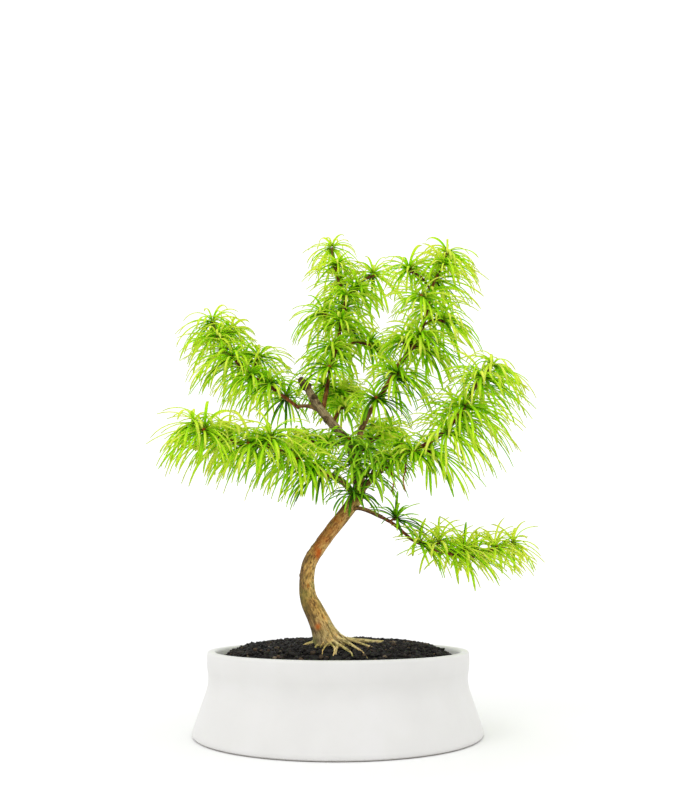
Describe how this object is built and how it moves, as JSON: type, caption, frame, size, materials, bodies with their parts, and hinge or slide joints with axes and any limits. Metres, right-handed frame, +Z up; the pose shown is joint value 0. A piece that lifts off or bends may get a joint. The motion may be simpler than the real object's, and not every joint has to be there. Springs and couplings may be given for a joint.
{
  "type": "potted larch bonsai",
  "caption": "Small larch trained as a bonsai, with an S-curved trunk and soft needled branches, standing in soil in a round flared white pot with a foot to rest on.",
  "frame": {"origin": "on the surface that the pot stands on, under the middle of the overall width and depth; the pot's axis is 9 mm to the -X side of it", "axes": "+Z up along the pot's axis, +X to the right as the tree is looked at from its front, +Y away from the viewer"},
  "size_m": [0.2868, 0.2064, 0.3995],
  "materials": {
    "white_ceramic": "satin",
    "mesh_plastic": "matte",
    "soil": "matte",
    "bark": "matte",
    "foliage": "satin",
    "foliage_dark": "satin"
  },
  "bodies": {
    "root": {"pot": "white_ceramic", "drainage_mesh": "mesh_plastic", "soil": "soil", "trunk_and_roots": "bark", "branch_far_left": "foliage", "branch_top_left": "foliage", "branch_top_right": "foliage", "branch_right": "foliage", "branch_left": "foliage", "branch_inner_left": "foliage", "branch_low_right": "foliage", "branch_back_right": "foliage", "branch_back": "foliage", "tuft_crotch": "foliage_dark", "tuft_fork": "foliage_dark", "tuft_leader": "foliage_dark"}
  },
  "joints": []
}
